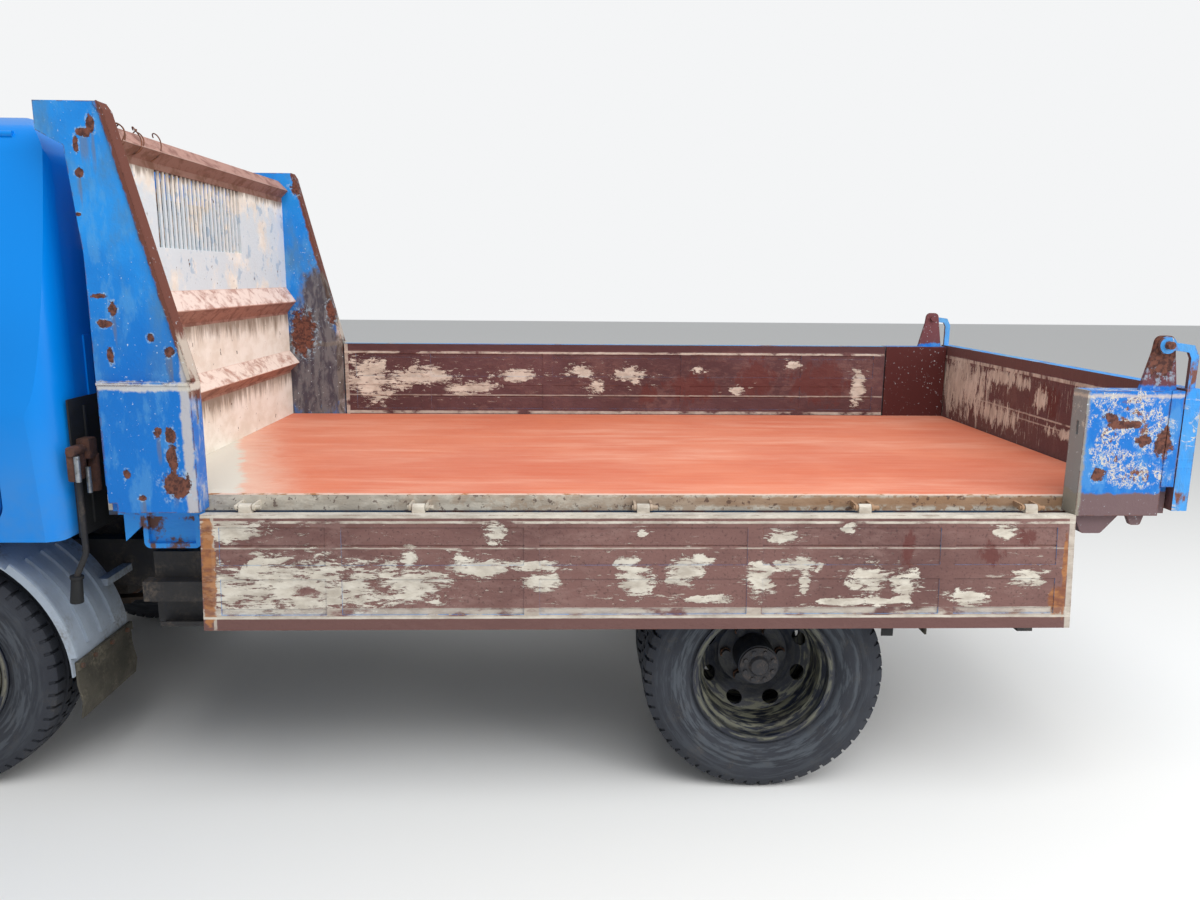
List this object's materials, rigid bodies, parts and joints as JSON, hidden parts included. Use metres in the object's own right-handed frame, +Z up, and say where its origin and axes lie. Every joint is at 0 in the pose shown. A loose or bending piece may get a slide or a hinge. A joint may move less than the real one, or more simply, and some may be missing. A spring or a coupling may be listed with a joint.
{
  "type": "small dump truck",
  "caption": "Cab-over tipping truck with a worn blue cab, red-primed load bed, tall headboard guards and a lowered side gate.",
  "frame": {"origin": "on the ground, on the centre line, halfway along the truck", "axes": "+X to the truck's left, +Y to its rear, +Z up"},
  "size_m": [2, 4.77, 1.9993],
  "materials": {
    "chassis_paint": "satin",
    "cast_iron": "rough",
    "bare_steel": "satin",
    "wheel_paint": "satin",
    "tyre": "matte",
    "rubber": "matte",
    "grey_plastic": "matte",
    "bumper_paint": "satin",
    "lamp_plastic": "gloss",
    "floor_primer": "matte",
    "bed_paint": "matte",
    "cab_paint": "gloss",
    "glass": "gloss",
    "seat_cover": "matte",
    "black_plastic": "matte"
  },
  "bodies": {
    "chassis": {"frame": "chassis_paint", "sub_frame": "chassis_paint", "engine_block": "cast_iron", "front_axle": "cast_iron", "rear_axle": "cast_iron", "leaf_springs": "bare_steel", "fuel_tank": "chassis_paint", "exhaust": "bare_steel", "battery_box": "chassis_paint", "front_wings": "grey_plastic", "mud_flaps": "rubber", "front_bumper": "bumper_paint", "rear_bumper": "chassis_paint", "lamps": "lamp_plastic"},
    "left_knuckle": {"knuckle_left": "cast_iron"},
    "right_knuckle": {"knuckle_right": "cast_iron"},
    "tie_rod_body": {"tie_rod": "bare_steel"},
    "front_wheel_left": {"rim_front_left": "wheel_paint", "tyre_front_left": "tyre"},
    "front_wheel_right": {"rim_front_right": "wheel_paint", "tyre_front_right": "tyre"},
    "rear_wheels_left": {"rims_rear_left": "wheel_paint", "tyres_rear_left": "tyre"},
    "rear_wheels_right": {"rims_rear_right": "wheel_paint", "tyres_rear_right": "tyre"},
    "bed": {"bed_floor": "floor_primer", "headboard": "bed_paint", "front_guards": "bed_paint", "rear_posts": "bed_paint"},
    "left_gate": {"gate_left": "bed_paint"},
    "right_gate": {"gate_right": "bed_paint"},
    "rear_gate": {"tailgate": "bed_paint"},
    "barrel": {"hoist_barrel": "chassis_paint"},
    "piston_rod": {"hoist_rod": "bare_steel"},
    "cab": {"cab_shell": "cab_paint", "cab_windows": "glass", "seats": "seat_cover", "dashboard": "black_plastic", "steering_wheel": "black_plastic", "grille": "black_plastic", "mirrors": "black_plastic"},
    "left_door": {"door_left": "cab_paint", "door_glass_left": "glass"},
    "right_door": {"door_right": "cab_paint", "door_glass_right": "glass"}
  },
  "joints": [
    {"name": "steer_left", "type": "hinge", "parent": "chassis", "child": "left_knuckle", "pos_m": [0.6, -1.32, 0.368], "axis": [0, 0, 1], "range_deg": [-32, 32]},
    {"name": "steer_right", "type": "hinge", "parent": "chassis", "child": "right_knuckle", "pos_m": [-0.6, -1.32, 0.368], "axis": [0, 0, 1], "range_deg": [-32, 32]},
    {"name": "tie_rod_pivot", "type": "hinge", "parent": "left_knuckle", "child": "tie_rod_body", "pos_m": [0.6, -1.19, 0.284], "axis": [0, 0, 1], "range_deg": [-32, 32]},
    {"name": "front_left_spin", "type": "hinge", "parent": "left_knuckle", "child": "front_wheel_left", "pos_m": [0.695, -1.32, 0.368], "axis": [1, 0, 0], "continuous": true},
    {"name": "front_right_spin", "type": "hinge", "parent": "right_knuckle", "child": "front_wheel_right", "pos_m": [-0.695, -1.32, 0.368], "axis": [1, 0, 0], "continuous": true},
    {"name": "rear_left_spin", "type": "hinge", "parent": "chassis", "child": "rear_wheels_left", "pos_m": [0.62, 1.18, 0.368], "axis": [1, 0, 0], "continuous": true},
    {"name": "rear_right_spin", "type": "hinge", "parent": "chassis", "child": "rear_wheels_right", "pos_m": [-0.62, 1.18, 0.368], "axis": [1, 0, 0], "continuous": true},
    {"name": "cab_tilt", "type": "hinge", "parent": "chassis", "child": "cab", "pos_m": [0, -2.31, 0.62], "axis": [1, 0, 0], "range_deg": [0, 45]},
    {"name": "door_left_hinge", "type": "hinge", "parent": "cab", "child": "left_door", "pos_m": [0.845, -2.155, 1.1], "axis": [0, 0, -1], "range_deg": [0, 65]},
    {"name": "door_right_hinge", "type": "hinge", "parent": "cab", "child": "right_door", "pos_m": [-0.845, -2.155, 1.1], "axis": [0, 0, 1], "range_deg": [0, 65]},
    {"name": "bed_tip", "type": "hinge", "parent": "chassis", "child": "bed", "pos_m": [0, 2.19, 0.705], "axis": [-1, 0, 0], "range_deg": [0, 45]},
    {"name": "hoist_swing", "type": "hinge", "parent": "chassis", "child": "barrel", "pos_m": [0, 0.25, 0.56], "axis": [1, 0, 0], "range_deg": [0, 22.04]},
    {"name": "hoist_slide", "type": "slide", "parent": "barrel", "child": "piston_rod", "axis": [0, 0.9676, 0.2526], "range_m": [0, 0.6514]},
    {"name": "gate_left_hinge", "type": "hinge", "parent": "bed", "child": "left_gate", "pos_m": [0.8425, 0.85, 0.905], "axis": [0, -1, 0], "range_deg": [0, 175]},
    {"name": "gate_right_hinge", "type": "hinge", "parent": "bed", "child": "right_gate", "pos_m": [-0.8425, 0.85, 0.905], "axis": [0, -1, 0], "range_deg": [0, 175]},
    {"name": "tailgate_hinge", "type": "hinge", "parent": "bed", "child": "rear_gate", "pos_m": [0, 2.275, 1.382], "axis": [1, 0, 0], "range_deg": [0, 75]}
  ],
  "couplings": [
    {"joint": "steer_right", "follows": "steer_left", "ratio": 1},
    {"joint": "tie_rod_pivot", "follows": "steer_left", "ratio": -1},
    {"joint": "hoist_swing", "follows": "bed_tip", "ratio": 0.48952},
    {"joint": "hoist_slide", "follows": "bed_tip", "m_per_rad": 0.82869}
  ]
}
